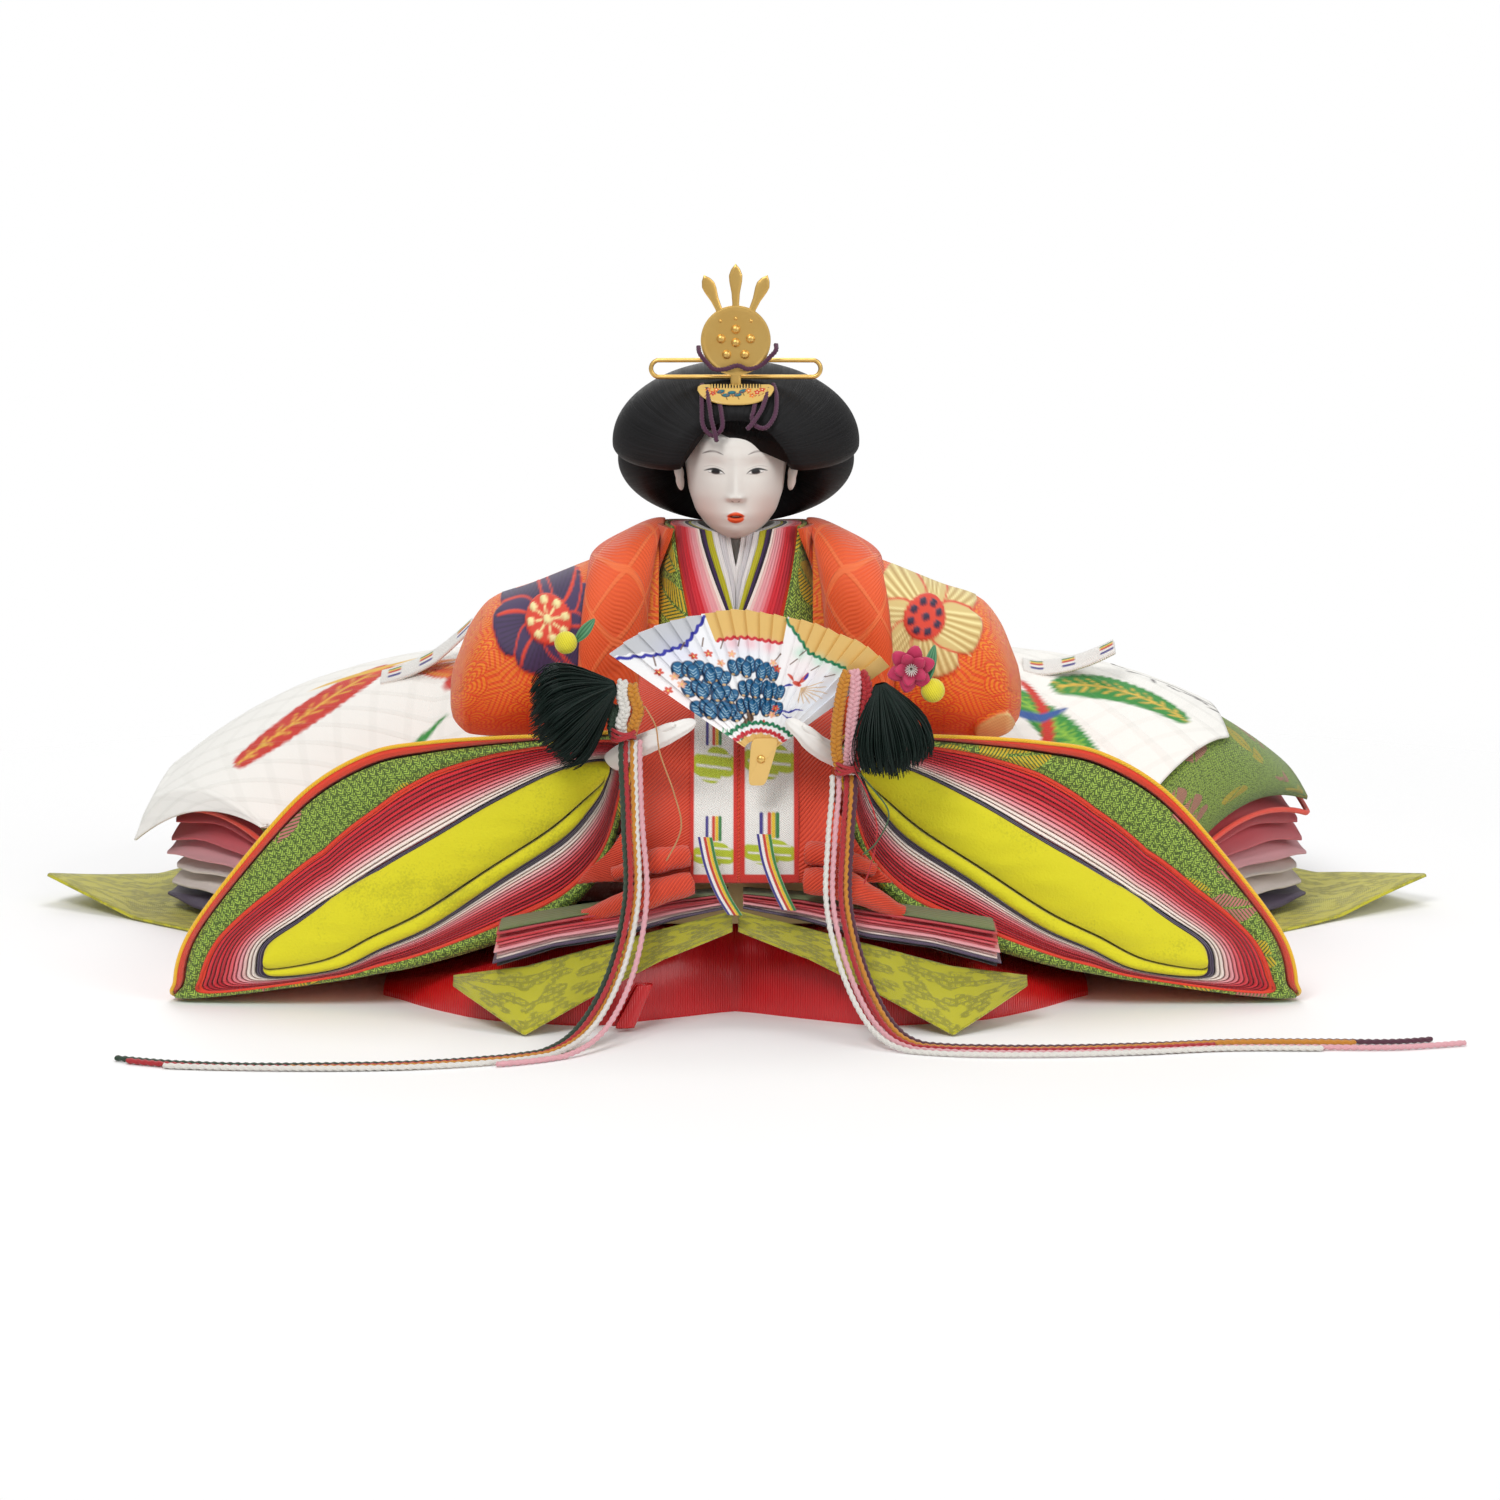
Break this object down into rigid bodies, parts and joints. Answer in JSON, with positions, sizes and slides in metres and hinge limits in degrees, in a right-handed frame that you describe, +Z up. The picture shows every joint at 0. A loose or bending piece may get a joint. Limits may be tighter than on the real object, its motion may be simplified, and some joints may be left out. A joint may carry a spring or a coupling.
{
  "type": "hina doll",
  "caption": "Seated empress doll in layered silk court dress, with an open fan, gilt crown, turning head and robes laid out behind.",
  "frame": {"origin": "on the flat underside of the red trousers, below the axis of the neck", "axes": "+Z up, the doll faces -Y, +X is at the viewer's right, along the spread of the robes"},
  "size_m": [0.464, 0.3525, 0.2211],
  "materials": {
    "straw": "bound rice straw, matt",
    "wood": "plain turned wood",
    "gofun": "white shell powder in glue, polished to a soft sheen",
    "hair": "combed black silk strands",
    "gilt": "satin gilt",
    "comb_lacquer": "gold lacquer with painted pine and blossom",
    "purple_cord": "twisted silk",
    "white_silk": "white silk with fine weave",
    "lime_silk": "yellow-green silk with woven motifs",
    "pink_silk": "plain silks in graded pinks",
    "green_brocade": "green brocade with leaf motifs",
    "orange_brocade": "orange brocade with yellow flowers",
    "purple_silk": "plain purple and navy silk",
    "red_satin": "glossy red satin",
    "fan_board": "painted white wooden blades with gilt bands",
    "braid": "braided silk knots",
    "tassel_silk": "fluffy dark green silk",
    "silk_flower": "silk blossom with ball and leaf",
    "twisted_cord": "twisted silk cords in several colours"
  },
  "bodies": {
    "doll": {"hakama": "red_satin", "straw_torso": "straw", "collar_white": "white_silk", "collar_lime": "lime_silk", "collar_layers": "pink_silk", "collar_brocade": "green_brocade", "coat_body": "orange_brocade", "lap_brocade": "orange_brocade", "knee_form": "straw", "band_left": "white_silk", "band_right": "white_silk", "back_lime": "lime_silk", "back_layers": "pink_silk", "back_brocade": "green_brocade", "train": "white_silk", "upper_sleeve_left": "orange_brocade", "arm_left": "straw", "sleeve_coat_left": "orange_brocade", "sleeve_brocade_left": "green_brocade", "sleeve_layers_left": "pink_silk", "sleeve_purple_left": "purple_silk", "sleeve_lime_left": "lime_silk", "hem_stack_left": "pink_silk", "hem_lime_left": "lime_silk", "train_sash_left": "white_silk", "hand_left": "gofun", "upper_sleeve_right": "orange_brocade", "arm_right": "straw", "sleeve_coat_right": "orange_brocade", "sleeve_brocade_right": "green_brocade", "sleeve_layers_right": "pink_silk", "sleeve_purple_right": "purple_silk", "sleeve_lime_right": "lime_silk", "hem_stack_right": "pink_silk", "hem_lime_right": "lime_silk", "train_sash_right": "white_silk", "hand_right": "gofun"},
    "head": {"neck_peg": "wood", "head": "gofun", "hair_front": "hair", "hair_back": "hair", "hair_tail": "hair", "crown_cord": "purple_cord"},
    "crown": {"crown": "gilt"},
    "hairpin": {"hairpin": "gilt"},
    "comb": {"comb": "comb_lacquer"},
    "fan": {"fan": "fan_board", "fan_rivet": "gilt", "knot_left": "braid", "knot_right": "braid", "tassel_left": "tassel_silk", "tassel_right": "tassel_silk", "ornament_left": "silk_flower", "ornament_right": "silk_flower", "cord_left_outer": "twisted_cord", "cord_left_inner": "twisted_cord", "cord_right_outer": "twisted_cord", "cord_right_inner": "twisted_cord"}
  },
  "joints": [
    {"name": "head_turn", "type": "hinge", "parent": "doll", "child": "head", "pos_m": [0, 0, 0.125], "axis": [0, 0, 1], "range_deg": [-15, 15]},
    {"name": "crown_lift", "type": "slide", "parent": "head", "child": "crown", "axis": [0, 0, 1], "range_m": [0, 0.04]},
    {"name": "hairpin_pull", "type": "slide", "parent": "head", "child": "hairpin", "axis": [1, 0, 0], "range_m": [0, 0.06]},
    {"name": "comb_pull", "type": "slide", "parent": "head", "child": "comb", "axis": [0, -0.766, 0.6428], "range_m": [0, 0.03]},
    {"name": "fan_lift", "type": "slide", "parent": "doll", "child": "fan", "axis": [0, 0, 1], "range_m": [0, 0.06]}
  ]
}
